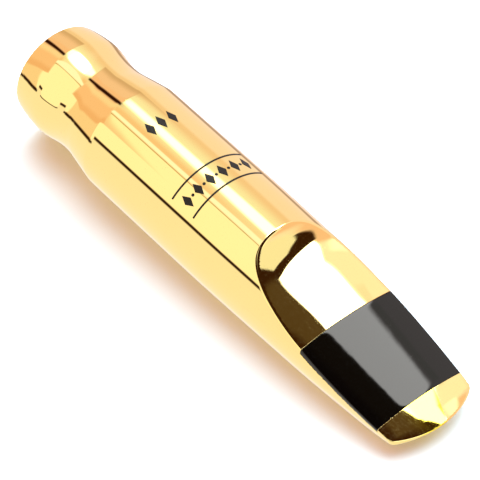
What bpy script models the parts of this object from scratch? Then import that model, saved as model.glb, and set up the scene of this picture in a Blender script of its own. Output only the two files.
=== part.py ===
"""Saxophone mouthpiece: a one-piece turned and milled brass body with a black
bite plate bonded into a recess in the beak.

Frame of the finished part (metres):
  origin  on the reed table, on the centre plane
  +X      along the reed table, from the shank end to the tip
  +Z      away from the reed table, towards the beak
  +Y      across the mouthpiece
The bore axis leans TABLE_TILT_DEG away from +X.  Sizes are in millimetres in a
bore frame (x from the shank end along the bore axis, z up) unless a comment
says otherwise; to_part() places them in the frame above.
"""
import math

import bmesh
import bpy
import numpy as np

MM = 0.001

# ----------------------------------------------------------------- frame
TABLE_TILT_DEG = 3.0        # reed table against the bore axis
TABLE_DEPTH = 8.5           # table below the bore axis ...
TABLE_DEPTH_AT = 25.0       # ... at this distance from the shank end
ORIGIN_X = 40.0             # origin of the part, measured from the shank end

TILT = math.radians(TABLE_TILT_DEG)
TILT_COS, TILT_SIN, TILT_TAN = math.cos(TILT), math.sin(TILT), math.tan(TILT)

# ----------------------------------------------------------------- turned body and bore
LENGTH = 95.0               # shank end to the middle of the tip
END_EDGE = 0.25             # broken edge around the shank end
BODY_SEGMENTS = 84

# Outside of the turned body: (x, radius)
PROFILE = (
    (END_EDGE, 8.80), (1.2, 9.03), (2.5, 9.25), (4.0, 9.39), (5.5, 9.47),
    (6.4, 9.42), (7.4, 9.27), (8.4, 9.08), (9.9, 8.80), (11.4, 8.69),
    (12.9, 8.72), (13.6, 8.80), (14.5, 8.95), (16.0, 9.23), (18.0, 9.60),
    (20.0, 9.97), (20.3, 10.0), (45.0, 10.0), (50.0, 9.95), (55.0, 9.85),
    (60.0, 9.74), (66.0, 9.62), (73.0, 9.45), (80.0, 9.12), (85.0, 8.84),
    (89.8, 8.54), (92.5, 8.35), (96.5, 8.02),
)

SHANK_BORE_R = 8.0          # takes a 16 mm neck cork
SHANK_BORE_DEPTH = 22.0
BORE_EDGE = 0.1             # broken edge at the mouth of the bore
BORE_STEP = 0.6             # length of the cone from shank bore to chamber
CHAMBER_R = 6.3
BORE_OVERSHOOT = 2.0        # bore cutter beyond the shank end
BORE_SEGMENTS = 56

# ----------------------------------------------------------------- beak and bite plate
SCOOP_START = 57.28         # where the scoop of the beak leaves the turned body
PLATE_REAR = 73.1
PLATE_FRONT = 89.8

BEAK_Z = 3.3                # straight beak slope above the bore axis at PLATE_REAR
BEAK_SLOPE = 0.2036         # its fall per mm towards the tip
BEAK_RISES = ((2.5, 4.0), (1.04, 0.5))  # (height at SCOOP_START, decay length)
TIP_DROP = 0.0127           # extra fall in front of the plate, per mm squared

CROWN_SPAN = 9.4            # half width over which the crown is measured
CROWN_AT_SCOOP = 0.2        # crown where the scoop starts ...
CROWN_GAIN_SCOOP = 0.8      # ... added by the plate's rear ...
CROWN_GAIN_PLATE = 0.15     # ... and added along the plate

PLATE_DEPTH = 0.8           # recess depth under the beak surface
PLATE_GAP = 0.05            # joint between plate and recess
PLATE_EDGE = 0.55           # rounding of the plate's long edges
PLATE_EDGE_DROP = 0.03      # rounded edges lie this far under the beak surface
PLATE_EDGE_START_DEG = 6.0  # rounding starts this far above sideways
PLATE_SIDE_INSET = 0.02     # lower corner inside the body's side
PLATE_STEPS = 8

# Points across the plate, one side of the centre plane
PLATE_TOP_SHARES = (0.84, 0.70, 0.56, 0.42, 0.28, 0.14)  # of the half width
PLATE_SEAT_Y = (1.5, 3.0, 4.5, 6.0, 7.5, 9.0)

# Stations of the two cutters that follow the beak surface, and half their y points
CUTTER_HALF_WIDTH = 12.0
SCOOP_X = (
    57.12, SCOOP_START, 57.45, 57.7, 58.0, 58.4, 58.9, 59.6, 60.5, 61.7, 63.2,
    65.0, 67.5, 70.5, 73.6, 77.5, 81.5, 85.5, 89.6, 92.0, 94.0, 98.0,
)
SCOOP_Y = (2.1, 4.2, 6.2, 8.0, 9.6, CUTTER_HALF_WIDTH)
SCOOP_CUTTER_TOP = 16.0
RECESS_X = (PLATE_REAR, 77.3, 81.5, 85.6, PLATE_FRONT)
RECESS_Y = PLATE_SEAT_Y + (CUTTER_HALF_WIDTH,)
RECESS_CUTTER_TOP = 9.0

# ----------------------------------------------------------------- facing and tip
FACING_START = 70.0         # facing curve begins here, measured like LENGTH
TIP_OPENING = 2.9           # lift of the facing curve at LENGTH
FACING_LENGTH = LENGTH - FACING_START
FACING_R = (FACING_LENGTH ** 2 + TIP_OPENING ** 2) / (2 * TIP_OPENING)
FACING_STEPS = 14
FACING_OVERRUN = 3.0        # curve continued beyond the tip ...
FACING_RUNOUT = 2.0         # ... then level for this much more
FACING_CUTTER_REAR = -60.0  # part frame
FACING_CUTTER_BOTTOM = -12.0  # part frame

TIP_ARC_R = 14.4
TIP_ARC_STEPS = 18
TIP_SIDE = ((88.0, 9.4), (90.2, 8.62))  # plan points (x, y) behind the corner
TIP_CORNER_CENTRE = (91.35, 7.0)        # plan (x, y)
TIP_CORNER_R = 1.35
TIP_CORNER_DEG = (82.0, 32.0)           # from +X, side to tip
TIP_CORNER_STEPS = 4
TIP_CORNER_BLEND = 0.5                  # y from the corner to the tip arc
TIP_CUTTER_FRONT = 102.0
CUTTER_REACH = 14.0                     # half size of the facing and tip cutters

# ----------------------------------------------------------------- window and throat
TIP_RAIL = 1.2
WINDOW_REAR = 54.0
WINDOW_R = 6.0
WINDOW_CENTRE_X = WINDOW_REAR + WINDOW_R
WINDOW_HALF_TIP = 6.65
WINDOW_STEPS = 14
WINDOW_CUTTER_FRONT = 66.0
WINDOW_CUTTER_FLARE = 0.02  # wider at its front than the round end
WINDOW_CUTTER_Z = (-12.0, -1.8)

# Roof of the throat on the centre plane: (x, z)
ROOF = (
    (50.0, 5.9), (53.0, 5.9), (55.5, 5.85), (58.0, 5.35), (60.0, 4.8),
    (62.5, 4.1), (66.0, 3.05), (70.0, 1.85), (73.0, 1.0), (76.5, 0.1),
    (80.0, -0.75), (85.0, -1.75), (88.0, -2.2), (91.0, -2.38),
    (LENGTH - TIP_RAIL, -2.12),
)
THROAT_ARC_FROM = 90.5      # stations beyond this follow the tip arc
THROAT_HALF_REAR = WINDOW_R - 0.15
THROAT_REAR_TAPER = 0.4     # narrowing per mm behind the window
THROAT_REAR_BOTTOM = -3.0   # floor behind the window's centre
THROAT_UNDERCUT = 1.2       # cutter below the facing, in the window
THROAT_CORNER_REAR = 3.2    # roof corner radius behind the window's centre
THROAT_CORNER_MIN, THROAT_CORNER_MAX = 0.22, 1.9
THROAT_CORNER_SHARE = 0.22  # corner radius as a share of the throat height
CORNER_STEPS = 5            # also used for the plate's edges


# ----------------------------------------------------------------- shape functions
def table_z(x):
    """Height of the reed table plane in the bore frame."""
    return -TABLE_DEPTH + TILT_TAN * (x - TABLE_DEPTH_AT)


def to_part(x, y, z):
    """Bore frame (mm) to part frame (m)."""
    dx = x - ORIGIN_X
    dz = z - table_z(ORIGIN_X)
    return ((dx * TILT_COS + dz * TILT_SIN) * MM, y * MM,
            (-dx * TILT_SIN + dz * TILT_COS) * MM)


def scale_only(x, y, z):
    """Part frame in mm to part frame in m."""
    return (x * MM, y * MM, z * MM)


def body_radius(x):
    stations, radii = zip(*PROFILE)
    return float(np.interp(x, stations, radii))


def smooth(t):
    t = max(0.0, min(1.0, t))
    return t * t * (3 - 2 * t)


def crown(x):
    """Fall of the beak surface from its centre line to CROWN_SPAN."""
    along_scoop = smooth((x - SCOOP_START) / (PLATE_REAR - SCOOP_START))
    along_plate = smooth((x - PLATE_REAR) / (PLATE_FRONT - PLATE_REAR))
    return CROWN_AT_SCOOP + CROWN_GAIN_SCOOP * along_scoop + CROWN_GAIN_PLATE * along_plate


def beak_centre(x):
    z = BEAK_Z - BEAK_SLOPE * (x - PLATE_REAR)
    for height, decay in BEAK_RISES:
        z += height * math.exp(-(x - SCOOP_START) / decay)
    if x > PLATE_FRONT:
        z -= TIP_DROP * (x - PLATE_FRONT) ** 2
    return z


def beak_z(x, y):
    return beak_centre(x) - crown(x) * (y / CROWN_SPAN) ** 2


def facing_lift(distance):
    """Height of the facing curve above the table, this far past its start."""
    if distance <= 0:
        return 0.0
    return FACING_R - math.sqrt(FACING_R ** 2 - distance ** 2)


def tip_x(y):
    return LENGTH - (TIP_ARC_R - math.sqrt(TIP_ARC_R ** 2 - y * y))


def arc(centre, radius, start_deg, end_deg, steps):
    """Points on a circular arc, both ends included."""
    points = []
    for i in range(steps + 1):
        angle = math.radians(start_deg + (end_deg - start_deg) * i / steps)
        points.append((centre[0] + radius * math.cos(angle),
                       centre[1] + radius * math.sin(angle)))
    return points


# ----------------------------------------------------------------- object helpers
def clear_scene():
    for ob in list(bpy.data.objects):
        bpy.data.objects.remove(ob, do_unlink=True)


def new_object(name, verts, faces):
    mesh = bpy.data.meshes.new(name)
    mesh.from_pydata(verts, [], faces)
    mesh.validate()
    bm = bmesh.new()
    bm.from_mesh(mesh)
    # all normals outward, so that the booleans see a solid
    bmesh.ops.recalc_face_normals(bm, faces=bm.faces)
    if bm.calc_volume(signed=True) < 0:
        bmesh.ops.reverse_faces(bm, faces=bm.faces)
    bm.to_mesh(mesh)
    bm.free()
    ob = bpy.data.objects.new(name, mesh)
    bpy.context.scene.collection.objects.link(ob)
    return ob


def loft(name, rings, place=to_part):
    """Closed solid through rings of points; place() puts them in the part frame."""
    count = len(rings[0])
    verts = [place(*point) for ring in rings for point in ring]
    faces = []
    for i in range(len(rings) - 1):
        for k in range(count):
            k2 = (k + 1) % count
            faces.append((i * count + k, i * count + k2,
                          (i + 1) * count + k2, (i + 1) * count + k))
    faces.append(tuple(range(count)))
    faces.append(tuple((len(rings) - 1) * count + k for k in range(count)))
    return new_object(name, verts, faces)


def revolve(name, stations, segments):
    """Closed solid of revolution about the bore axis from (x, radius) stations."""
    angles = [2 * math.pi * (k + 0.5) / segments for k in range(segments)]
    rings = [[(x, radius * math.cos(a), radius * math.sin(a)) for a in angles]
             for x, radius in stations]
    return loft(name, rings)


def extrude_plan(name, plan, z_range):
    """Upright prism on a plan outline of (x, y) points."""
    return loft(name, [[(x, y, z) for x, y in plan] for z in z_range])


def cut(target, cutter, name):
    cutter.hide_render = True
    cutter.display_type = 'WIRE'
    mod = target.modifiers.new(name, 'BOOLEAN')
    mod.operation = 'DIFFERENCE'
    mod.solver = 'EXACT'
    mod.object = cutter


# ----------------------------------------------------------------- materials
def material(name, colour, roughness, metallic):
    mat = bpy.data.materials.new(name)
    mat.use_nodes = True
    bsdf = mat.node_tree.nodes["Principled BSDF"]
    bsdf.inputs["Base Color"].default_value = (*colour, 1.0)
    bsdf.inputs["Roughness"].default_value = roughness
    bsdf.inputs["Metallic"].default_value = metallic
    mat.diffuse_color = (*colour, 1.0)
    return mat


def gold_plated_brass():
    return material("gold_plated_brass", colour=(0.86, 0.62, 0.22),
                    roughness=0.08, metallic=1.0)


def black_plastic():
    return material("black_plastic", colour=(0.012, 0.012, 0.013),
                    roughness=0.12, metallic=0.0)


# ----------------------------------------------------------------- the body
def make_blank():
    end_face = (0.0, PROFILE[0][1] - END_EDGE)
    return revolve("mouthpiece_body", (end_face,) + PROFILE, BODY_SEGMENTS)


def make_facing_cutter():
    """Everything under the reed table and the facing curve, worked out in the
    part frame so that the table is exactly the plane Z = 0."""
    start = (FACING_START - ORIGIN_X) / TILT_COS
    span = FACING_LENGTH / TILT_COS + FACING_OVERRUN
    outline = [(FACING_CUTTER_REAR, 0.0), (start, 0.0)]
    for i in range(1, FACING_STEPS + 1):
        distance = span * i / FACING_STEPS
        outline.append((start + distance, facing_lift(distance)))
    front = start + span + FACING_RUNOUT
    outline += [(front, outline[-1][1]), (front, FACING_CUTTER_BOTTOM),
                (FACING_CUTTER_REAR, FACING_CUTTER_BOTTOM)]
    rings = [[(x, y, z) for x, z in outline] for y in (-CUTTER_REACH, CUTTER_REACH)]
    return loft("cut_facing", rings, place=scale_only)


def make_above_beak_cutter(name, stations, half_ys, depth, top):
    """Everything from `depth` under the beak surface up to `top`."""
    ys = [-y for y in reversed(half_ys)] + [0.0] + list(half_ys)
    rings = []
    for x in stations:
        ring = [(x, y, beak_z(x, y) - depth) for y in ys]
        ring += [(x, CUTTER_HALF_WIDTH, top), (x, -CUTTER_HALF_WIDTH, top)]
        rings.append(ring)
    return loft(name, rings)


def make_scoop_cutter():
    return make_above_beak_cutter("cut_scoop", SCOOP_X, SCOOP_Y,
                                  depth=0.0, top=SCOOP_CUTTER_TOP)


def make_recess_cutter():
    """Full-width seat of the bite plate."""
    return make_above_beak_cutter("cut_recess", RECESS_X, RECESS_Y,
                                  depth=PLATE_DEPTH, top=RECESS_CUTTER_TOP)


def tip_outline():
    """Plan curve of the tip, from the +Y side to the -Y side."""
    points = list(TIP_SIDE)
    points += arc(TIP_CORNER_CENTRE, TIP_CORNER_R, *TIP_CORNER_DEG, TIP_CORNER_STEPS)
    arc_end_y = points[-1][1] - TIP_CORNER_BLEND
    for i in range(TIP_ARC_STEPS + 1):
        y = arc_end_y * (1 - i / TIP_ARC_STEPS)
        points.append((tip_x(y), y))
    return points + [(x, -y) for x, y in reversed(points[:-1])]


def make_tip_cutter():
    """Everything in front of the tip outline."""
    rear = TIP_SIDE[0][0]
    plan = tip_outline() + [
        (rear, -CUTTER_REACH), (TIP_CUTTER_FRONT, -CUTTER_REACH),
        (TIP_CUTTER_FRONT, CUTTER_REACH), (rear, CUTTER_REACH),
    ]
    return extrude_plan("cut_tip", plan, (-CUTTER_REACH, CUTTER_REACH))


def make_bore_cutter():
    """Shank bore and chamber, narrowing at the chamber's front end."""
    stations = [
        (-BORE_OVERSHOOT, SHANK_BORE_R + BORE_EDGE),
        (0.0, SHANK_BORE_R + BORE_EDGE),
        (BORE_EDGE, SHANK_BORE_R),
        (SHANK_BORE_DEPTH, SHANK_BORE_R),
        (SHANK_BORE_DEPTH + BORE_STEP, CHAMBER_R),
        (56.8, CHAMBER_R), (58.4, CHAMBER_R - 0.3), (60.2, CHAMBER_R - 1.0),
    ]
    return revolve("cut_bore", stations, BORE_SEGMENTS)


def make_window_cutter():
    """The round rear end of the window, up from the table into the chamber."""
    half_front = WINDOW_R + WINDOW_CUTTER_FLARE
    plan = arc((WINDOW_CENTRE_X, 0.0), WINDOW_R, 90, 270, WINDOW_STEPS)
    plan += [(WINDOW_CUTTER_FRONT, -half_front), (WINDOW_CUTTER_FRONT, half_front)]
    return extrude_plan("cut_window", plan, WINDOW_CUTTER_Z)


def throat_ring(x, top):
    run = max(0.0, (x - WINDOW_CENTRE_X) / (ROOF[-1][0] - WINDOW_CENTRE_X))
    half = THROAT_HALF_REAR + (WINDOW_HALF_TIP - THROAT_HALF_REAR) * run
    if x < WINDOW_REAR:
        half -= THROAT_REAR_TAPER * (WINDOW_REAR - x)

    if x < WINDOW_CENTRE_X:
        bottom = THROAT_REAR_BOTTOM
        radius = THROAT_CORNER_REAR
    else:
        facing_z = table_z(x) + facing_lift(x - FACING_START)
        bottom = facing_z - THROAT_UNDERCUT
        radius = (top - facing_z) * THROAT_CORNER_SHARE
        radius = min(THROAT_CORNER_MAX, max(THROAT_CORNER_MIN, radius))

    corner = arc((half - radius, top - radius), radius, 0, 90, CORNER_STEPS)
    section = corner + [(0.0, top)] + [(-y, z) for y, z in reversed(corner)]
    section += [(-half, bottom), (half, bottom)]
    if x > THROAT_ARC_FROM:
        setback = LENGTH - x
        return [(tip_x(y) - setback, y, z) for y, z in section]
    return [(x, y, z) for y, z in section]


def make_throat_cutter():
    """The tapering air passage from the chamber to just behind the tip rail."""
    return loft("cut_throat", [throat_ring(x, top) for x, top in ROOF])


# ----------------------------------------------------------------- the bite plate
def plate_section(x):
    """Section of the plate across the mouthpiece: flush with the beak above,
    with the body's side at both ends, long edges rounded."""
    def underside(y):
        return beak_z(x, y) - PLATE_DEPTH + PLATE_GAP

    # the body's side meets the beak surface at side_y, found by iteration
    radius = body_radius(x)
    side_y = radius
    for _ in range(30):
        side_y = math.sqrt(radius ** 2 - beak_z(x, side_y) ** 2)

    edge_y = side_y - PLATE_EDGE
    edge_z = beak_z(x, edge_y) - PLATE_EDGE - PLATE_EDGE_DROP
    edge = arc((edge_y, edge_z), PLATE_EDGE, PLATE_EDGE_START_DEG, 90, CORNER_STEPS)
    top = [(side_y * share, beak_z(x, side_y * share)) for share in PLATE_TOP_SHARES]

    low_z = underside(side_y)
    low_y = math.sqrt(radius ** 2 - low_z ** 2) - PLATE_SIDE_INSET
    upper = [(low_y, low_z)] + edge + top

    lower = [(y, underside(y)) for y in PLATE_SEAT_Y]
    # where the plate is too narrow for the outermost seat point, move it inwards
    if lower[-1][0] >= low_y - 0.25:
        lower[-1] = (low_y - 0.25, underside(low_y - 0.35))

    section = upper + [(0.0, beak_z(x, 0.0))]
    section += [(-y, z) for y, z in reversed(upper)]
    section += [(-y, z) for y, z in reversed(lower)]
    section += [(0.0, underside(0.0))] + lower
    return [(x, y, z) for y, z in section]


def make_plate():
    rear = PLATE_REAR + PLATE_GAP
    front = PLATE_FRONT - PLATE_GAP
    rings = [plate_section(rear + (front - rear) * i / PLATE_STEPS)
             for i in range(PLATE_STEPS + 1)]
    return loft("bite_plate", rings)


# ----------------------------------------------------------------- build
def main():
    clear_scene()
    body = make_blank()
    body.data.materials.append(gold_plated_brass())
    cut(body, make_facing_cutter(), "facing")
    cut(body, make_scoop_cutter(), "scoop")
    cut(body, make_tip_cutter(), "tip")
    cut(body, make_bore_cutter(), "bore")
    cut(body, make_window_cutter(), "window")
    cut(body, make_throat_cutter(), "throat")
    cut(body, make_recess_cutter(), "recess")
    plate = make_plate()
    plate.data.materials.append(black_plastic())


main()
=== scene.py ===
"""Looks of a saxophone mouthpiece: a polished gold-plated body, a gloss black bite plate
let into its beak, and an ornament of black enamel round its barrel, in a soft studio.

Shapes are worked out in the bore frame, in millimetres: the bore runs along x from the
shank end (x = 0) to the tip, y goes across, and the beak is on the upper (+z) side.
The part frame (metres) is tilted about y, so that the flat underside lies on z = 0."""
import itertools
import math
import operator
from functools import reduce

import bmesh
import bpy
import numpy as np
from mathutils import Matrix


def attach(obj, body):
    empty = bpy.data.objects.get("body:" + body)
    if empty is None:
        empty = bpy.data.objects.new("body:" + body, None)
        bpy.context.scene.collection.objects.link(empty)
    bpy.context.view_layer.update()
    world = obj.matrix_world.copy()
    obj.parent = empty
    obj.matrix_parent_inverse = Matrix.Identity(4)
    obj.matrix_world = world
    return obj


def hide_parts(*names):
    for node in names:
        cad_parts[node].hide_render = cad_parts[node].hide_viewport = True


# ---- main sizes in the bore frame (mm)
LENGTH = 95.0
BARREL_RADIUS = 10.0
BARREL_END = 42.0               # where the outside starts to taper
SHANK_BORE_RADIUS, BORE_RADIUS = 8.0, 6.3
BORE_STEP, BORE_STEP_LENGTH = 22.0, 0.7
BORE_END = 60.4
THROAT_START, THROAT_WIDENING = 50.0, 60.0
SCOOP_START = 57.28             # where the beak drops away from the barrel
PLATE_REAR, PLATE_FRONT = 73.1, 89.8
PLATE_DEPTH, PLATE_GAP = 0.8, 0.02
TIP_ARC_RADIUS, TIP_RAIL = 14.4, 1.2
FACING_START, TIP_OPENING = 70.0, 2.9
FACING_LENGTH = LENGTH - FACING_START
FACING_RADIUS = (FACING_LENGTH ** 2 + TIP_OPENING ** 2) / (2 * TIP_OPENING)

# ---- the part frame: its origin in the bore frame, on the flat underside
TILT = math.radians(3.0)
COS_TILT, SIN_TILT = math.cos(TILT), math.sin(TILT)
FLAT_X, FLAT_Z = 25.0, -8.5     # a point of the underside
ORIGIN_X = 40.0
ORIGIN_Z = FLAT_Z + math.tan(TILT) * (ORIGIN_X - FLAT_X)

# ---- grids the surfaces are found on: for x, y and z, a start, then (end, step) spans
BODY_GRID = (
    (-0.6, (0.6, 0.1), (20.5, 0.4), (56.4, 0.9), (58.4, 0.1), (62, 0.15), (72.7, 0.27),
     (73.0, 0.1), (73.25, 0.035), (74, 0.15), (89.3, 0.32), (89.65, 0.12), (89.9, 0.035),
     (90.4, 0.12), (95.3, 0.13)),
    (-10.3, (10.3, 0.2)),
    (-10.3, (-3.4, 0.2), (0.2, 0.13), (10.3, 0.2)))
PLATE_GRID = (
    (73.0, (73.3, 0.03), (73.6, 0.1), (89.3, 0.3), (89.6, 0.1), (89.9, 0.03)),
    (-10.0, (-8.0, 0.1), (8.0, 0.3), (10.0, 0.1)),
    (-4.0, (4.0, 0.1)))


# ---- frames
def tilt(x, z):
    """Turn bore-frame directions into the part frame."""
    return x * COS_TILT + z * SIN_TILT, -x * SIN_TILT + z * COS_TILT


def untilt(x, z):
    """Turn part-frame directions into the bore frame."""
    return x * COS_TILT - z * SIN_TILT, x * SIN_TILT + z * COS_TILT


def turn_to_part(vectors):
    x, z = tilt(vectors[:, 0], vectors[:, 2])
    return np.stack([x, vectors[:, 1], z], 1)


def to_part(points):
    """Bore frame (mm) to part frame (m)."""
    return turn_to_part(points - (ORIGIN_X, 0.0, ORIGIN_Z)) * 0.001


# ---- profiles along x
def natural_spline(stations, values):
    """Natural cubic spline through the points, as a function of numpy arrays."""
    stations, values = np.array(stations, float), np.array(values, float)
    count = len(stations)
    gaps = np.diff(stations)
    slopes = np.diff(values) / gaps
    matrix = np.zeros((count, count))
    bends = np.zeros(count)
    matrix[0, 0] = matrix[-1, -1] = 1.0
    for i in range(1, count - 1):
        matrix[i, i - 1:i + 2] = gaps[i - 1], 2 * (gaps[i - 1] + gaps[i]), gaps[i]
        bends[i] = 6 * (slopes[i] - slopes[i - 1])
    second = np.linalg.solve(matrix, bends)

    def spline(x):
        x = np.clip(x, stations[0], stations[-1])
        i = np.clip(np.searchsorted(stations, x) - 1, 0, count - 2)
        ahead, behind, gap = stations[i + 1] - x, x - stations[i], gaps[i]
        return (second[i] * ahead ** 3 / (6 * gap) + second[i + 1] * behind ** 3 / (6 * gap)
                + (values[i] / gap - second[i] * gap / 6) * ahead
                + (values[i + 1] / gap - second[i + 1] * gap / 6) * behind)
    return spline


# each profile: stations along x, then the radius or height there
shank_radius = natural_spline(
    (0.0, 1.5, 3.0, 4.5, 5.6, 7.0, 8.4, 9.9,
     11.4, 12.9, 14.3, 16.0, 17.8, 19.4, 21.0, 22.5),
    (8.78, 9.08, 9.30, 9.43, 9.47, 9.34, 9.08, 8.81,
     8.69, 8.73, 8.88, 9.20, 9.63, 9.91, 10.0, 10.0))
taper_radius = natural_spline(
    (42.0, 44.5, 50.0, 55.0, 60.0, 66.0, 73.0, 80.0, 85.0, 89.8, 92.5, 96.5),
    (10.0, 9.995, 9.95, 9.86, 9.76, 9.62, 9.45, 9.12, 8.84, 8.54, 8.35, 8.02))
throat_roof = natural_spline(
    (48.0, 53.0, 55.5, 58.0, 60.0, 62.5, 66.0, 70.0, 73.0, 76.5, 80.0, 85.0, 88.0, 91.0, 93.8),
    (5.9, 5.9, 5.85, 5.35, 4.8, 4.1, 3.05, 1.85, 1.0, 0.1, -0.75, -1.75, -2.2, -2.38, -2.12))


def smooth_step(t):
    t = np.clip(t, 0.0, 1.0)
    return t * t * (3 - 2 * t)


def body_radius(x):
    """Turned outside: shank and waist, conical flare, straight barrel, taper."""
    cone = 8.92 + 0.1846 * (x - 14.3) - BARREL_RADIUS
    flare = BARREL_RADIUS + 0.5 * (cone - np.hypot(cone, 0.05))
    blend = smooth_step((x - 13.0) / 2.6)
    shank = shank_radius(np.minimum(x, 18.0)) * (1 - blend) + flare * blend
    barrel = np.where(x > BARREL_END, taper_radius(x), BARREL_RADIUS)
    return np.where(x < 23.0, shank, barrel)


def beak_height(x, y):
    """Top of the beak: a straight slope with a scoop behind it and a droop to the tip."""
    x = np.maximum(x, 55.0)
    from_scoop = x - SCOOP_START
    past_plate = np.maximum(x - PLATE_FRONT, 0.0)
    near_tip = np.maximum(x - 92.3, 0.0)
    middle = 3.3 - 0.2036 * (x - PLATE_REAR)
    middle = middle + 2.5 * np.exp(-from_scoop / 4.0) + 1.04 * np.exp(-from_scoop / 0.5)
    middle = middle - 0.0127 * past_plate * past_plate
    middle = middle - 0.05 * (near_tip - 0.5 * (1 - np.exp(-near_tip / 0.5)))
    # the fall from the middle to y = 9.4 grows towards the tip
    crown = (0.2 + 0.8 * smooth_step(from_scoop / (PLATE_REAR - SCOOP_START))
             + 0.15 * smooth_step((x - PLATE_REAR) / (PLATE_FRONT - PLATE_REAR)))
    return middle - crown * (y / 9.4) ** 2


def facing_lift(part_x):
    """How far the facing curves up from the flat underside."""
    run = np.clip(part_x - (FACING_START - ORIGIN_X) / COS_TILT, 0.0, 40.0)
    return FACING_RADIUS - np.sqrt(FACING_RADIUS ** 2 - run * run)


# ---- solids as fields: near enough the distance to the surface, negative inside
def round_and(a, b, radius):
    """Intersection of two solids with the shared edge rounded."""
    return (np.minimum(np.maximum(a, b), -radius)
            + np.hypot(np.maximum(a + radius, 0), np.maximum(b + radius, 0)))


def round_or(a, b, radius):
    """Union of two solids with the shared corner filled."""
    return -round_and(-a, -b, radius)


def underside_field(x, z):
    """Above the flat underside and its curved facing."""
    part_x, part_z = tilt(x - ORIGIN_X, z - ORIGIN_Z)
    return facing_lift(part_x) - part_z


def beak_field(x, y, z):
    e = 0.01
    slope_x = (beak_height(x + e, y) - beak_height(x - e, y)) / (2 * e)
    slope_y = (beak_height(x, y + e) - beak_height(x, y - e)) / (2 * e)
    return (z - beak_height(x, y)) / np.sqrt(1 + slope_x * slope_x + slope_y * slope_y)


def tip_field(x, y):
    """Plan of the tip: a strip ending in an arc."""
    centre = LENGTH - TIP_ARC_RADIUS
    strip = np.maximum(x - LENGTH, np.abs(y) - TIP_ARC_RADIUS)
    return np.where(x > centre, np.hypot(x - centre, y) - TIP_ARC_RADIUS, strip)


def bore_field(x, y, z):
    """Stepped round bore, narrowing at its far end, with a bevelled mouth."""
    from_axis = np.hypot(y, z)
    along_step = (x - BORE_STEP) / BORE_STEP_LENGTH
    step = SHANK_BORE_RADIUS - along_step * (SHANK_BORE_RADIUS - BORE_RADIUS)
    radius = np.where(x < BORE_STEP + BORE_STEP_LENGTH, step, BORE_RADIUS)
    radius = np.where(x < BORE_STEP, SHANK_BORE_RADIUS, radius)
    radius = radius - 1.25 * np.clip((x - 57.0) / 3.2, 0, 2) ** 2
    bore = np.maximum((from_axis - radius) * 0.9, x - BORE_END)
    mouth = np.maximum(np.maximum(from_axis - 7.75, 0) - 0.55 + x * 0.9, -x - 3)
    return np.minimum(bore, mouth)


def throat_field(x, y, z, half_width):
    """Flat-sided channel from the bore to the tip rail, under the curved roof."""
    roof = throat_roof(x)
    depth = roof - (z + underside_field(x, z))
    corner = np.clip(depth * 0.22, 0.22, 1.9)
    corner = np.where(x < 62.0, 1.9 + 1.3 * np.clip((62.0 - x) / 4, 0, 1), corner)
    throat = round_and(np.abs(y) - half_width, (z - roof) * 0.93, corner)
    throat = round_and(throat, tip_field(x + TIP_RAIL, y), 0.3)
    throat = np.maximum(throat, THROAT_START - x)
    return np.maximum(throat, np.where(x < THROAT_WIDENING, -(z + 3.0), -1e3))


def window_field(x, y, z, half_width):
    """Opening through the underside, round at its shank end."""
    round_end = np.hypot(x - THROAT_WIDENING, y) - 6.0
    plan = np.where(x < THROAT_WIDENING, round_end, np.abs(y) - half_width)
    return np.maximum(np.maximum(plan, z + 1.5), x - 70.0)


def cavity_field(x, y, z):
    widening = np.clip((x - THROAT_WIDENING) / 33.8, 0.0, 1.0)
    half_width = 5.85 + 0.8 * widening - 0.4 * np.clip(54.0 - x, 0, 4)
    inside = round_or(bore_field(x, y, z), throat_field(x, y, z, half_width), 0.4)
    return round_or(inside, window_field(x, y, z, half_width), 0.35)


def slot_field(x, y, z):
    """Slot the bite plate sits in."""
    ends = np.maximum(PLATE_REAR - x, x - PLATE_FRONT)
    return np.maximum(ends, beak_height(x, y) - PLATE_DEPTH - z)


def body_field(x, y, z):
    # the beak's side edges are soft on the scoop and fine at the tip
    beak_edge = 0.30 - 0.17 * smooth_step((x - 70.0) / 22.0)
    body = round_and(np.hypot(y, z) - body_radius(x), tip_field(x, y), 0.5)
    body = round_and(body, -x, 0.22)
    body = round_and(body, beak_field(x, y, z), beak_edge)
    body = round_and(body, underside_field(x, z), 0.12)
    body = round_and(body, -slot_field(x, y, z), 0.05)
    return round_and(body, -cavity_field(x, y, z), 0.10)


def plate_field(x, y, z):
    """Bite plate; its top dips very slightly at its two ends."""
    sag = 0.022 * np.exp((PLATE_REAR - x) / 0.3) + 0.035 * np.exp((x - PLATE_FRONT) / 0.3)
    ends = np.maximum(PLATE_REAR + PLATE_GAP - x, x - PLATE_FRONT + PLATE_GAP)
    plate = round_and(np.hypot(y, z) - body_radius(x), beak_field(x, y, z + sag), 0.2)
    plate = round_and(plate, ends, 0.025)
    return round_and(plate, beak_height(x, y) - PLATE_DEPTH + 0.05 - z, 0.04)


# ---- quad mesh of a field's surface
LOWER, UPPER = slice(None, -1), slice(1, None)


def grid_lines(start, *spans):
    """Grid coordinates from a start and (end, step) spans; the coarseness factor is fixed at 1.
    """
    coarseness = 1.0
    lines = []
    for end, step in spans:
        count = max(1, int(round((end - start) / (step * coarseness))))
        lines.append(start + (end - start) * np.arange(count) / count)
        start = end
    return np.concatenate(lines + [np.array([start])])


def pick(parts):
    """Index of a 3D array that takes the given slice along each axis named in parts."""
    return tuple(parts.get(axis, slice(None)) for axis in range(3))


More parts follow.
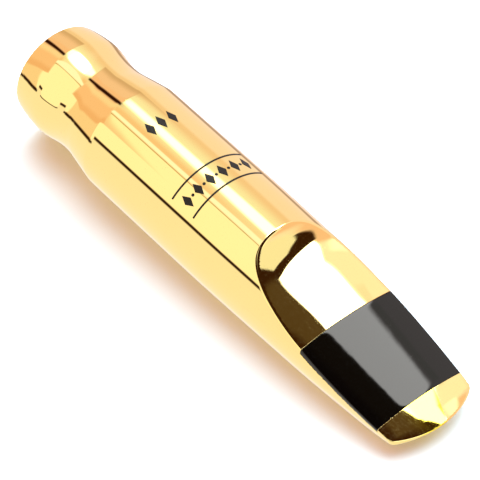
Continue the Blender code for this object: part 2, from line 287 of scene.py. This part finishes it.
def cell_points(values, grid):
    """Mask of the cells the surface crosses, and the mean crossing of their edges."""
    shape = tuple(n - 1 for n in values.shape)
    total = np.zeros(shape + (3,))
    count = np.zeros(shape)
    for axis in range(3):
        low, high = pick({axis: LOWER}), pick({axis: UPPER})
        a, b = values[low], values[high]
        cross = (a < 0) != (b < 0)
        t = np.where(cross, a / np.where(cross, a - b, 1.0), 0.0)
        points = [coordinate[low] for coordinate in grid]
        points[axis] = points[axis] + t * (grid[axis][high] - grid[axis][low])
        others = [k for k in range(3) if k != axis]
        for halves in itertools.product((LOWER, UPPER), repeat=2):
            source = pick(dict(zip(others, halves)))
            for k in range(3):
                total[..., k] += np.where(cross[source], points[k][source], 0.0)
            count += cross[source]
    used = count > 0
    return used, total[used] / count[used][:, None]


def cell_quads(inside, used):
    """A quad round every grid edge the surface crosses, joining its four cells."""
    index = np.full(used.shape, -1, np.int64)
    index[used] = np.arange(int(used.sum()))
    quads = []
    for axis in range(3):
        first, second = (axis + 1) % 3, (axis + 2) % 3
        starts_inside = inside[pick({axis: LOWER})]
        edges = np.argwhere(starts_inside != inside[pick({axis: UPPER})])
        for side in (first, second):
            edges = edges[(edges[:, side] > 0) & (edges[:, side] < inside.shape[side] - 1)]
        corners = []
        for back_first, back_second in ((1, 1), (0, 1), (0, 0), (1, 0)):
            cells = edges.copy()
            cells[:, first] -= back_first
            cells[:, second] -= back_second
            corners.append(index[tuple(cells.T)])
        quad = np.stack(corners, 1)
        reverse = ~starts_inside[tuple(edges.T)]
        quad[reverse] = quad[reverse][:, ::-1]
        quads.append(quad)
    return np.concatenate(quads)


def value_and_gradient(field, points, e=0.004):
    x, y, z = points.T
    gradient = np.stack([field(x + e, y, z) - field(x - e, y, z),
                         field(x, y + e, z) - field(x, y - e, z),
                         field(x, y, z + e) - field(x, y, z - e)], 1) / (2 * e)
    return field(x, y, z), gradient


def surface_net(field, lines, steps=4):
    """Points, quads and normals of field = 0; the points are moved onto the surface."""
    grid = np.meshgrid(*lines, indexing="ij")
    values = field(*grid)
    used, points = cell_points(values, grid)
    quads = cell_quads(values < 0, used)
    cell_size = np.stack(np.meshgrid(*map(np.diff, lines), indexing="ij"), -1)[used]
    home = points
    for _ in range(steps):
        value, gradient = value_and_gradient(field, points)
        squared = np.maximum((gradient * gradient).sum(1), 0.05)
        points = points - (value / squared)[:, None] * gradient
        points = np.clip(points, home - 0.9 * cell_size, home + 0.9 * cell_size)
    _, gradient = value_and_gradient(field, points)
    normals = gradient / np.maximum(np.linalg.norm(gradient, axis=1), 1e-9)[:, None]
    return points, quads, normals


# ---- objects
def add_object(name, data):
    ob = bpy.data.objects.new(name, data)
    bpy.context.scene.collection.objects.link(ob)
    return ob


def bore_mesh(name, points, faces):
    """Mesh in the part frame from bore-frame points."""
    mesh = bpy.data.meshes.new(name)
    mesh.from_pydata([tuple(p) for p in to_part(points)], [],
                     [tuple(int(i) for i in face) for face in faces])
    mesh.update()
    return mesh


def build_surface(name, field, grid):
    """Smooth object on the surface of a field."""
    points, quads, normals = surface_net(field, [grid_lines(*spans) for spans in grid])
    mesh = bore_mesh(name, points, quads)
    mesh.polygons.foreach_set("use_smooth", np.ones(len(mesh.polygons), bool))
    ob = add_object(name, mesh)
    mesh.normals_split_custom_set_from_vertices([tuple(n) for n in turn_to_part(normals)])
    return ob


# ---- ornament: closed slabs let into the barrel (mm); "arc" is the length round the
# barrel from its top, towards -y
INLAY_DEPTH, INLAY_RISE = 0.06, 0.035
BAND_X, BAND_LINE_OFFSET, BAND_LINE_WIDTH = 42.6, 2.6, 0.32
BAND_ARC_START, BAND_ARC_END = -7.2, 8.2
BAND_COUNT, BAND_FIRST_ARC, BAND_PITCH = 6, -5.75, 2.5
DOT_RADIUS, DOT_SIDES = 0.28, 8
BAND_HALF_LENGTH, TRIO_HALF_LENGTH, LOZENGE_HALF_WIDTH = 1.45, 1.6, 0.72
TRIO_X, TRIO_FIRST_ARC, TRIO_PITCH = 28.2, -2.2, 2.2


def on_barrel(x, arc, level):
    """Point at a level above the barrel's surface."""
    radius = float(body_radius(np.array([x]))[0])
    angle = arc / radius
    return x, -(radius + level) * math.sin(angle), (radius + level) * math.cos(angle)


def slab(outline):
    """Points and faces of a slab with a convex (x, arc) outline."""
    rim = []
    for (x0, arc0), (x1, arc1) in zip(outline, outline[1:] + outline[:1]):
        n = max(1, int(math.hypot(x1 - x0, arc1 - arc0) / 0.25))
        rim += [(x0 + (x1 - x0) * k / n, arc0 + (arc1 - arc0) * k / n) for k in range(n)]
    count = len(rim)
    centre_x = sum(p[0] for p in rim) / count
    centre_arc = sum(p[1] for p in rim) / count
    sheet = [(centre_x, centre_arc)]
    for share in (1 / 3, 2 / 3, 1.0):
        sheet += [(centre_x + (x - centre_x) * share, centre_arc + (arc - centre_arc) * share)
                  for x, arc in rim]
    points = [on_barrel(x, arc, level) for level in (INLAY_RISE, -INLAY_DEPTH)
              for x, arc in sheet]
    faces = []
    under = len(sheet)
    for k in range(count):
        j = (k + 1) % count
        for centre in (0, under):
            ring = centre + 1
            cap = [(centre, ring + k, ring + j)]
            for inner in (ring, ring + count):
                outer = inner + count
                cap.append((inner + k, outer + k, outer + j, inner + j))
            faces += [face[::-1] for face in cap] if centre else cap
        a, b = 1 + 2 * count + k, 1 + 2 * count + j
        faces.append((a, a + under, b + under, b))
    return points, faces


def ring_line(x, arc_start, arc_end, width):
    """Points and faces of a thin bar that runs round the barrel."""
    count = int((arc_end - arc_start) / 0.3)
    section = ((-width / 2, INLAY_RISE), (width / 2, INLAY_RISE),
               (width / 2, -INLAY_DEPTH), (-width / 2, -INLAY_DEPTH))
    points = [on_barrel(x + dx, arc_start + (arc_end - arc_start) * k / count, level)
              for k in range(count + 1) for dx, level in section]
    faces = [(o + i, o + (i + 1) % 4, o + 4 + (i + 1) % 4, o + 4 + i)
             for o in range(0, 4 * count, 4) for i in range(4)]
    faces += [(0, 3, 2, 1), tuple(4 * count + i for i in range(4))]
    return points, faces


def lozenge(x, arc, half_length):
    return [(x - half_length, arc), (x, arc - LOZENGE_HALF_WIDTH),
            (x + half_length, arc), (x, arc + LOZENGE_HALF_WIDTH)]


def dot(x, arc):
    angles = [2 * math.pi * k / DOT_SIDES for k in range(DOT_SIDES)]
    return [(x + DOT_RADIUS * math.cos(a), arc + DOT_RADIUS * math.sin(a)) for a in angles]


def build_ornament():
    """A band of lozenges and dots between two thin lines, and three small lozenges."""
    outlines = []
    for k in range(BAND_COUNT):
        arc = BAND_FIRST_ARC + BAND_PITCH * k
        outlines.append(lozenge(BAND_X, arc, BAND_HALF_LENGTH))
        if k < BAND_COUNT - 1:
            outlines.append(dot(BAND_X, arc + BAND_PITCH / 2))
    for k in range(3):
        outlines.append(lozenge(TRIO_X, TRIO_FIRST_ARC + TRIO_PITCH * k, TRIO_HALF_LENGTH))
    pieces = [slab(outline) for outline in outlines]
    for x in (BAND_X - BAND_LINE_OFFSET, BAND_X + BAND_LINE_OFFSET):
        pieces.append(ring_line(x, BAND_ARC_START, BAND_ARC_END, BAND_LINE_WIDTH))

    points, faces = [], []
    for piece_points, piece_faces in pieces:
        faces += [[len(points) + i for i in face] for face in piece_faces]
        points += piece_points
    mesh = bore_mesh("engraved_band", np.array(points), faces)
    bm = bmesh.new()
    bm.from_mesh(mesh)
    bmesh.ops.recalc_face_normals(bm, faces=bm.faces)
    bm.to_mesh(mesh)
    bm.free()
    return add_object("engraved_band", mesh)


# ---- shader nodes from plain arithmetic
class Signal:
    """An output socket that can be calculated with."""

    def __init__(self, shader, socket):
        self.shader, self.socket = shader, socket

    def __add__(self, other):
        return self.shader.math("ADD", self, other)

    def __radd__(self, other):
        return self.shader.math("ADD", other, self)

    def __sub__(self, other):
        return self.shader.math("SUBTRACT", self, other)

    def __rsub__(self, other):
        return self.shader.math("SUBTRACT", other, self)

    def __mul__(self, other):
        return self.shader.math("MULTIPLY", self, other)

    def __truediv__(self, other):
        return self.shader.math("DIVIDE", self, other)

    def ramp(self, low, high):
        """0 below low, 1 above high, smooth between."""
        inputs = {"Value": self, "From Min": low, "From Max": high}
        return self.shader.signal("MapRange", inputs, interpolation_type="SMOOTHSTEP")

    def above(self, edge, soft):
        """1 above the edge, 0 below it, soft over the given width."""
        return self.ramp(edge - soft / 2, edge + soft / 2)

    def below(self, edge, soft):
        return 1.0 - self.above(edge, soft)

    def curve(self, points):
        """Straight lines through the (in, out) points."""
        out = points[0][1]
        for (x0, y0), (x1, y1) in zip(points, points[1:]):
            inputs = {"Value": self, "From Min": x0, "From Max": x1, "To Max": y1 - y0}
            out = out + self.shader.signal("MapRange", inputs)
        return out


class Shader:
    """Adds nodes to a node tree."""

    def __init__(self, tree):
        self.tree = tree

    def feed(self, node, inputs):
        for key, value in inputs.items():
            if isinstance(value, Signal):
                self.tree.links.new(value.socket, node.inputs[key])
            else:
                node.inputs[key].default_value = value

    def outputs(self, kind, inputs, **settings):
        """Make a node and return its outputs by name."""
        node = self.tree.nodes.new("ShaderNode" + kind)
        for key, value in settings.items():
            setattr(node, key, value)
        self.feed(node, inputs)
        return node.outputs

    def signal(self, kind, inputs, output=0, **settings):
        return Signal(self, self.outputs(kind, inputs, **settings)[output])

    def math(self, operation, *values):
        return self.signal("Math", dict(enumerate(values)), operation=operation)

    def maximum(self, a, b):
        return self.math("MAXIMUM", a, b)

    def length(self, a, b):
        return self.math("SQRT", a * a + b * b)

    def separate(self, vector):
        return [Signal(self, socket) for socket in self.outputs("SeparateXYZ", {0: vector})]

    def colour(self, value):
        """A colour given as a tuple becomes a node; a signal is left as it is."""
        if isinstance(value, tuple):
            return self.signal("CombineXYZ", dict(enumerate(value)))
        return value

    def mix(self, a, b, factor):
        inputs = {0: factor, 4: self.colour(a), 5: self.colour(b)}
        return self.signal("Mix", inputs, output=1, data_type="VECTOR")

    def mix_shaders(self, a, b, factor):
        return self.signal("MixShader", {0: factor, 1: a, 2: b})

    def position(self):
        """Object position in millimetres."""
        metres = self.signal("TexCoord", {}, output="Object")
        return self.signal("VectorMath", {0: metres, "Scale": 1000.0}, operation="SCALE")

    def noise(self, position, frequency, detail, roughness=0.5):
        scaled = self.signal("VectorMath", {0: position, 1: frequency}, operation="MULTIPLY")
        return self.signal("TexNoise", {"Vector": scaled, "Scale": 1.0, "Detail": detail,
                                        "Roughness": roughness})

    def bump(self, height, distance, under=None):
        inputs = {"Strength": 1.0, "Distance": distance, "Height": height}
        if under is not None:
            inputs["Normal"] = under
        return self.signal("Bump", inputs)


# ---- materials
def new_material(name):
    material = bpy.data.materials.new(name)
    material.use_nodes = True
    return material, Shader(material.node_tree)


def gold_material():
    material, shader = new_material("polished_gold_plate")
    nodes = material.node_tree.nodes
    nodes.remove(nodes["Principled BSDF"])
    position = shader.position()
    part_x, y, part_z = shader.separate(position)
    x, z = untilt(part_x, part_z)
    x, z = x + ORIGIN_X, z + ORIGIN_Z
    from_axis = shader.length(y, z)

    # polishing streaks run along the body; dents, specks and scratches are everywhere
    streaks = shader.noise(position, frequency=(0.10, 4.2, 4.2), detail=3.0, roughness=0.65)
    drift = shader.noise(position, frequency=(0.16, 0.16, 0.16), detail=1.0)
    specks = shader.noise(position, frequency=(5.5, 5.5, 5.5), detail=1.0)
    specks = specks.ramp(low=0.70, high=0.80)
    marks = shader.noise(position, frequency=(0.9, 9.0, 2.2), detail=2.0)
    patches = shader.noise(position, frequency=(0.5, 0.5, 0.5), detail=1.0)
    scratch = marks.ramp(low=0.66, high=0.72) * patches.ramp(low=0.45, high=0.62)

    # regions, by their place in the bore frame
    beak = x.ramp(low=57.0, high=60.0)
    tip = x.ramp(low=89.3, high=90.0)
    inside = (1.0 - from_axis.ramp(low=8.15, high=8.3)) * (1.0 - x.ramp(low=55.5, high=56.5))
    # mask of the painted highlight tint on the tip's lip
    tip_highlight_edge = (y + (x - 90.0) * 0.38).ramp(low=2.72, high=2.98)
    tip_highlight_tint = tip * (y.ramp(low=-5.0, high=-2.0) * (1.0 - tip_highlight_edge))

    colour = shader.mix((1.0, 0.79, 0.33), (1.0, 0.765, 0.295), factor=drift * 0.5)
    colour = shader.mix(colour, (0.86, 0.55, 0.20), factor=specks * 0.35)
    # painted highlight: the gold on the tip's lip is tinted a deeper yellow, so that the bright
    # softbox reflected there comes out pale yellow rather than white
    colour = shader.mix(colour, (1.0, 0.78, 0.095), factor=tip_highlight_tint)
    roughness = 0.014 + (streaks * 0.016 + scratch * 0.05)
    roughness = roughness + (tip * 0.012 + inside * 0.22)
    normal = shader.bump(streaks, distance=0.00000030)
    normal = shader.bump(drift, distance=0.0000040, under=normal)

    # a faint haze of fine marks, stronger on the beak and tip
    amount = 0.001 + beak * (streaks.ramp(low=0.50, high=0.74) * 0.022)
    amount = amount + tip * (streaks.ramp(low=0.44, high=0.7) * 0.030)
    amount = amount + (scratch * 0.05 + specks * 0.06)
    clean, haze = [
        shader.signal("BsdfPrincipled", {"Metallic": 1.0, "Base Color": colour,
                                         "Roughness": value, "Normal": normal})
        for value in (roughness, 0.34)]
    shader.feed(nodes["Material Output"], {0: shader.mix_shaders(clean, haze, amount)})
    return material


def black_material():
    material, shader = new_material("gloss_black_plastic")
    position = shader.position()
    streaks = shader.noise(position, frequency=(0.35, 2.6, 2.6), detail=3.0, roughness=0.6)
    cloud = shader.noise(position, frequency=(0.22, 0.22, 0.22), detail=2.0)
    marks = shader.noise(position, frequency=(7.5, 0.9, 3.0), detail=2.0)
    patches = shader.noise(position, frequency=(0.45, 0.45, 0.45), detail=1.0)
    scratch = marks.ramp(low=0.66, high=0.73) * patches.ramp(low=0.48, high=0.66)
    normal = shader.bump(streaks, distance=0.00000050)
    normal = shader.bump(cloud, distance=0.000012, under=normal)
    shader.feed(material.node_tree.nodes["Principled BSDF"], {
        "Base Color": (0.0012, 0.0011, 0.0011, 1.0),
        "IOR": 1.48,
        "Specular Tint": (1.0, 0.93, 0.85, 1.0),
        "Roughness": 0.02 + (cloud * 0.04 + scratch * 0.12),
        "Normal": shader.bump(scratch, distance=0.0000010, under=normal)})
    return material


def enamel_material():
    material, shader = new_material("black_enamel")
    grain = shader.noise(shader.position(), frequency=(7.0, 7.0, 7.0), detail=2.0)
    shader.feed(material.node_tree.nodes["Principled BSDF"], {
        "Base Color": shader.mix((0.002, 0.0015, 0.001), (0.010, 0.007, 0.004), grain),
        "Specular IOR Level": 0.3,
        "Roughness": 0.28 + grain * 0.2,
        "Normal": shader.bump(grain, distance=0.000006)})
    return material


def build_floor():
    half = 1.6
    mesh = bpy.data.meshes.new("floor")
    corners = [(-half, -half, 0), (half, -half, 0), (half, half, 0), (-half, half, 0)]
    mesh.from_pydata(corners, [], [(0, 1, 2, 3)])
    ob = add_object("floor", mesh)
    ob.location = (0, 0, -0.00002)
    material, shader = new_material("white_sweep")
    shader.feed(material.node_tree.nodes["Principled BSDF"], {
        "Base Color": (0.9, 0.9, 0.9, 1), "Roughness": 1.0, "Specular IOR Level": 0.0})
    mesh.materials.append(material)
    # the table is already part of the studio the metal reflects
    ob.visible_glossy = False
    return ob


# ---- the studio the metal reflects, as soft panels seen from the object
class FlatMap:
    """Directions as a flat map in degrees with the zenith at its middle: x towards the
    tip, y towards +y.  Its shapes are masks, 1 inside; "soft" is the width of an edge."""

    def __init__(self, shader, x, y, z):
        self.shader = shader
        height = shader.math("MINIMUM", shader.maximum(z, -0.99999), 0.99999)
        from_zenith = shader.math("ARCCOSINE", height) * (180.0 / math.pi)
        level = shader.maximum(shader.length(x, y), 1e-5)
        self.x = from_zenith * (x / level)
        self.y = from_zenith * (y / level)
        self.over_barrel = self.x.above(-38.0, soft=3.0)

    def union(self, *masks):
        return reduce(self.shader.maximum, masks)

    def panel(self, points, soft):
        """Convex panel, counter-clockwise; soft is one width or one for each side."""
        if not isinstance(soft, tuple):
            soft = (soft,) * len(points)
        sides = []
        for start, end, width in zip(points, points[1:] + points[:1], soft):
            dx, dy = end[0] - start[0], end[1] - start[1]
            n = math.hypot(dx, dy)
            across = self.x * (-dy / n) + self.y * (dx / n)
            sides.append(across.above((-start[0] * dy + start[1] * dx) / n, width))
        return reduce(operator.mul, sides)

    def strip(self, points, widths, soft):
        """Bent strip, its pieces 0.8 degrees longer at both ends so that they overlap."""
        pieces = []
        for (x0, y0), (x1, y1), width in zip(points, points[1:], widths):
            dx, dy = x1 - x0, y1 - y0
            n = math.hypot(dx, dy)
            ux, uy = dx / n * 0.8, dy / n * 0.8
            nx, ny = -dy / n * width / 2, dx / n * width / 2
            pieces.append(self.panel(((x0 - ux - nx, y0 - uy - ny), (x1 + ux - nx, y1 + uy - ny),
                                      (x1 + ux + nx, y1 + uy + ny), (x0 - ux + nx, y0 - uy + ny)),
                                     soft))
        return self.union(*pieces)


# Each function below returns (colour, mask) layers, later ones on top.
def room_layers(flat):
    """The room on the +y side, over the barrel and past the shank end."""
    far_edge = flat.strip(((-110, 78), (-76, 90.5), (-56, 94.5), (-30, 96)),
                          widths=(7.0, 7.0, 7.0), soft=4.0)
    over = flat.over_barrel
    layers = [
        ((0.50, 0.36, 0.33), far_edge),
        # a warm dip, then brighter towards the softbox
        ((0.95, 0.745, 0.65), flat.y.below(51.5, soft=8.0) * flat.x.below(-18.0, soft=14.0)),
        ((1.0, 1.06, 1.02), flat.y.below(35.0, soft=24.0) * over)]
    past_shank = flat.x.below(-38.0, soft=3.0) * flat.x.above(-108.0, soft=14.0)
    # bands across it: colour, upper y edge, softness
    for colour, edge, soft in (
            ((0.70, 0.50, 0.40), 43.5, 3.0), ((0.96, 0.70, 0.65), 34.0, 15.0),
            ((0.98, 0.65, 0.55), 16.0, 6.0), ((1.0, 0.85, 0.72), 0.0, 5.0),
            ((1.0, 0.675, 0.527), -9.0, 8.0), ((0.93, 0.575, 0.40), -31.0, 9.0),
            ((1.0, 0.80, 0.63), -40.5, 4.0)):
        layers.append((colour, flat.y.below(edge, soft) * past_shank))
    # warm light on the -y side of the softbox
    warm = flat.y.below(-2.0, soft=12.0) * over * flat.x.below(-29.0, soft=11.0)
    return layers + [((1.0, 1.0, 0.92), flat.y.below(7.0, soft=6.0) * over),
                     ((0.98, 0.72, 0.55), warm)]


def panel_layers(flat):
    """Panels on the -y side, the softbox, and what is beyond the tip."""
    thin = flat.panel(((-38.0, -17.6), (-12, -20.0), (-12, -6.0), (-38.0, -13.0)), soft=2.4)
    side = flat.union(
        flat.panel(((-37.5, -62), (-12, -62), (-12, -21.5), (-36.5, -20.5)),
                   soft=(3.0, 3.0, 1.5, 2.0)),
        flat.panel(((-58, -66), (-44, -100), (-12, -100), (-12, -42), (-49.5, -40.5)), soft=2.5))
    seam = flat.strip(((-37.5, -19.6), (-14, -21.0)), widths=(0.9,), soft=1.2)
    softbox = flat.panel(
        ((-36.0, 8.5), (-24, -1.0), (-12, -4.0), (-12, 25), (-24, 23), (-36.0, 19.5)),
        soft=(6.0, 3.0, 2.0, 4.0, 7.0, 3.0))
    window = flat.panel(((50, -34), (84, -38), (84, 20), (50, 19)), soft=7.0)
    dim_board = flat.panel(((16, -62), (48, -62), (44, -24), (18, -24)), soft=8.0)
    return [((1.30, 1.24, 1.36), thin), ((1.22, 1.17, 1.035), side),
            ((0.42, 0.36, 0.20), seam), ((2.9, 2.9, 2.9), softbox),
            ((1.9, 1.85, 1.8), window), ((0.30, 0.22, 0.15), dim_board)]


def tip_wall_layers(flat):
    """Wall on the +y side of the tip, and the brightest part of the softbox."""
    wall = flat.panel(((-12, 31), (17, 29.5), (-1, 49), (-12, 52)), soft=(1.5, 3.0, 3.0, 2.0))
    warm_wall = flat.panel(
        ((15, 29.0), (40, 29.3), (100, 42), (60, 60), (4, 47), (7, 38)), soft=3.0)
    patch = flat.panel(((6.5, 32.5), (13, 32.0), (12, 37), (7, 40.5), (4, 40.0)), soft=2.5)
    bright = flat.union(
        flat.panel(((-14, 12.5), (10.5, 21.3), (21.3, 28.6), (13, 30.1), (-14, 30.6)),
                   soft=(1.2, 1.0, 0.8, 1.2, 2.0)),
        flat.panel(((-14, 20), (3, 25), (4.5, 29.0), (-14, 39.9)), soft=(1.2, 1.0, 2.4, 2.0)),
        flat.panel(((-25, 2), (-12, -1), (-12, 24), (-25, 21)), soft=(3.0, 2.0, 4.0, 3.0)))
    notch = flat.panel(((-9, 37.5), (-5.2, 37.0), (-5.2, 40.5), (-9, 40.5)), soft=1.4)
    return [((1.15, 1.10, 1.12), wall), ((0.99, 0.68, 0.58), warm_wall),
            ((1.5, 1.45, 1.55), patch), ((6.8, 7.2, 7.5), bright), ((0.99, 1.0, 0.97), notch)]


def dark_layers(flat):
    """Dark opening by the zenith with its brown edge, a pale sliver, and a dark bar."""
    low = flat.panel(((-11, -60), (3, -60), (9, -12), (10.5, 21.3), (-11, 13.6)),
                     soft=(4.0, 4.0, 4.0, 1.2, 2.0))
    dark = flat.union(
        flat.panel(((-11, -12), (46, -12), (46, 21.8), (10.5, 21.3), (-11, 13.6)),
                   soft=(6.0, 5.0, 1.2, 1.2, 2.0)),
        flat.panel(((9.0, 18.5), (40, 18.5), (38, 29.6), (26, 30.3), (17.2, 30.0), (9.6, 21.8)),
                   soft=(1.2, 1.2, 1.0, 0.6, 0.7, 1.0)),
        low)
    brown = flat.panel(((-11, 6), (7, 6), (13, 19.5), (9.5, 20.5), (-11, 13.2)),
                       soft=(4.0, 5.0, 4.0, 1.2, 2.0))
    sliver = flat.panel(
        ((15, 22.0), (60, 22.0), (92, 32), (92, 34.5), (27.5, 28.0), (18.8, 25.6)), soft=0.5)
    shank_bar = flat.panel(((-66, 4.0), (-36.0, -0.5), (-36.0, 4.5), (-66, 11.5)), soft=3.4)
    return [((0.036, 0.012, 0.002), dark), ((0.088, 0.055, 0.022), brown),
            ((1.0, 1.02, 0.93), sliver), ((0.03, 0.006, 0.001), shank_bar)]


def table_layers(flat):
    """The table low down, and the dark gap between it and the side panel."""
    table_colour = (1.05, 1.0, 0.95)
    edge = flat.x.curve((
        (-100, -46), (-80.5, -58.5), (-66, -68.5), (-58, -70.5), (-52, -69.0), (-46.5, -67.0),
        (-38.5, -71.0), (-36.0, -86), (-27, -91.5), (-10, -96), (30, -96)))
    gap = flat.union(
        flat.strip(((-112, -40), (-80.5, -57.2), (-72, -63.0), (-65, -68.3), (-58, -72.0),
                    (-54.5, -74.0)), widths=(3.6, 5.0, 5.6, 5.6, 4.0), soft=2.6),
        flat.strip(((-48, -66.1), (-36.5, -71.8)), widths=(5.0,), soft=2.6),
        flat.strip(((-39.0, -82.8), (-34, -86.0), (-24, -89.6)), widths=(2.2, 2.0), soft=2.0))
    return [
        (table_colour, (flat.y - edge).below(0.0, soft=2.0) * flat.x.below(0, soft=20)),
        (table_colour, flat.x.below(-104.0, soft=10.0) * flat.y.below(60.0, soft=12.0)),
        ((0.03, 0.010, 0.002), gap)]


def studio_colour(shader, x, y, z):
    """Studio seen along a bore-frame direction: a pale warm room under the layers."""
    flat = FlatMap(shader, x, y, z)
    colour = (1.03, 0.89, 0.945)
    for group in (room_layers, panel_layers, tip_wall_layers, dark_layers, table_layers):
        for layer_colour, mask in group(flat):
            colour = shader.mix(colour, layer_colour, mask)
    return colour


# ---- diffuse light: warm fill from everywhere and one broad cool key
FILL = (1.42, 0.79, 0.60)
FILL_BEYOND_TIP = (0.32, 0.22, 0.20)    # share of the fill left beyond the tip
KEY = (2.9, 4.7, 5.6)
KEY_ELEVATION = math.radians(52.0)      # of the key, on the +y side
KEY_LEAN = -0.29                        # its lean along x, to the shank end
KEY_START = 0.55                        # lower puts the key's edge further out


def diffuse_colour(shader, x, y, z):
    toward_key = (y * math.cos(KEY_ELEVATION) + z * math.sin(KEY_ELEVATION)) + x * KEY_LEAN
    dimmed = tuple(share * value for share, value in zip(FILL_BEYOND_TIP, FILL))
    fill = shader.mix(FILL, dimmed, factor=x.ramp(low=-0.5, high=0.7))
    return shader.mix(fill, KEY, factor=toward_key.ramp(low=KEY_START, high=1.0))


def build_world():
    """The studio for reflections, soft light for diffuse rays, white for the camera."""
    world = bpy.data.worlds.new("studio")
    bpy.context.scene.world = world
    world.use_nodes = True
    world.node_tree.nodes.clear()
    shader = Shader(world.node_tree)
    x, y, z = shader.separate(shader.signal("TexCoord", {}, output="Generated"))
    bore_x, bore_z = untilt(x, z)
    studio, diffuse, plain = [
        shader.signal("Background", {"Color": colour})
        for colour in (studio_colour(shader, bore_x, y, bore_z),
                       diffuse_colour(shader, x, y, z), (1.0, 1.0, 1.0, 1))]
    rays = shader.outputs("LightPath", {})
    lit = shader.mix_shaders(studio, diffuse, Signal(shader, rays["Is Diffuse Ray"]))
    seen = shader.mix_shaders(lit, plain, Signal(shader, rays["Is Camera Ray"]))
    shader.outputs("OutputWorld", {0: seen})


# ---- camera, aimed in the bore frame (mm)
CAMERA_YAW, CAMERA_ELEVATION = math.radians(50.28), math.radians(48.83)
CAMERA_DISTANCE, CAMERA_RIGHT, CAMERA_UP = 404.298419, 30.543478, -28.577075
CAMERA_LENS, SENSOR_WIDTH = 179.99925, 36.0


def build_camera():
    right = np.array((math.cos(CAMERA_YAW), math.sin(CAMERA_YAW), 0.0))
    level = np.array((math.sin(CAMERA_YAW), -math.cos(CAMERA_YAW), 0.0))
    zenith = np.array((0.0, 0.0, 1.0))
    cosine, sine = math.cos(CAMERA_ELEVATION), math.sin(CAMERA_ELEVATION)
    back = cosine * level + sine * zenith
    up = -sine * level + cosine * zenith
    centre = back * CAMERA_DISTANCE + right * CAMERA_RIGHT + up * CAMERA_UP
    pose = np.eye(4)
    pose[:3, :3] = turn_to_part(np.stack([right, up, back])).T
    pose[:3, 3] = to_part(centre[None])[0]

    camera = bpy.data.cameras.new("camera")
    camera.sensor_width = SENSOR_WIDTH
    camera.lens = CAMERA_LENS
    camera.clip_start, camera.clip_end = 0.01, 20.0
    ob = add_object("camera", camera)
    ob.matrix_world = Matrix(pose.tolist())
    bpy.context.scene.camera = ob


# ---- put it together
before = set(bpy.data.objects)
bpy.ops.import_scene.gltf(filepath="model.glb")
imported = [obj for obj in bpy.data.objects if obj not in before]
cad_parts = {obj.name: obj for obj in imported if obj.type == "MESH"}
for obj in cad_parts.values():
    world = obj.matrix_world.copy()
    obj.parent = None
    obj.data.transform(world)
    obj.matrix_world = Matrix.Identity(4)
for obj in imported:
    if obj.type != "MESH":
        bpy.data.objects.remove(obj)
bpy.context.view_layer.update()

body = build_surface("gold_body", body_field, BODY_GRID)
body.data.materials.append(gold_material())
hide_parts("mouthpiece_body")
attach(body, "root")

plate = build_surface("black_bite_plate", plate_field, PLATE_GRID)
plate.data.materials.append(black_material())
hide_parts("bite_plate")
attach(plate, "root")

ornament = build_ornament()
ornament.data.materials.append(enamel_material())
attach(ornament, "root")

build_floor()
build_world()
build_camera()
bpy.context.scene.view_settings.view_transform = "Standard"
bpy.context.scene.view_settings.look = "None"
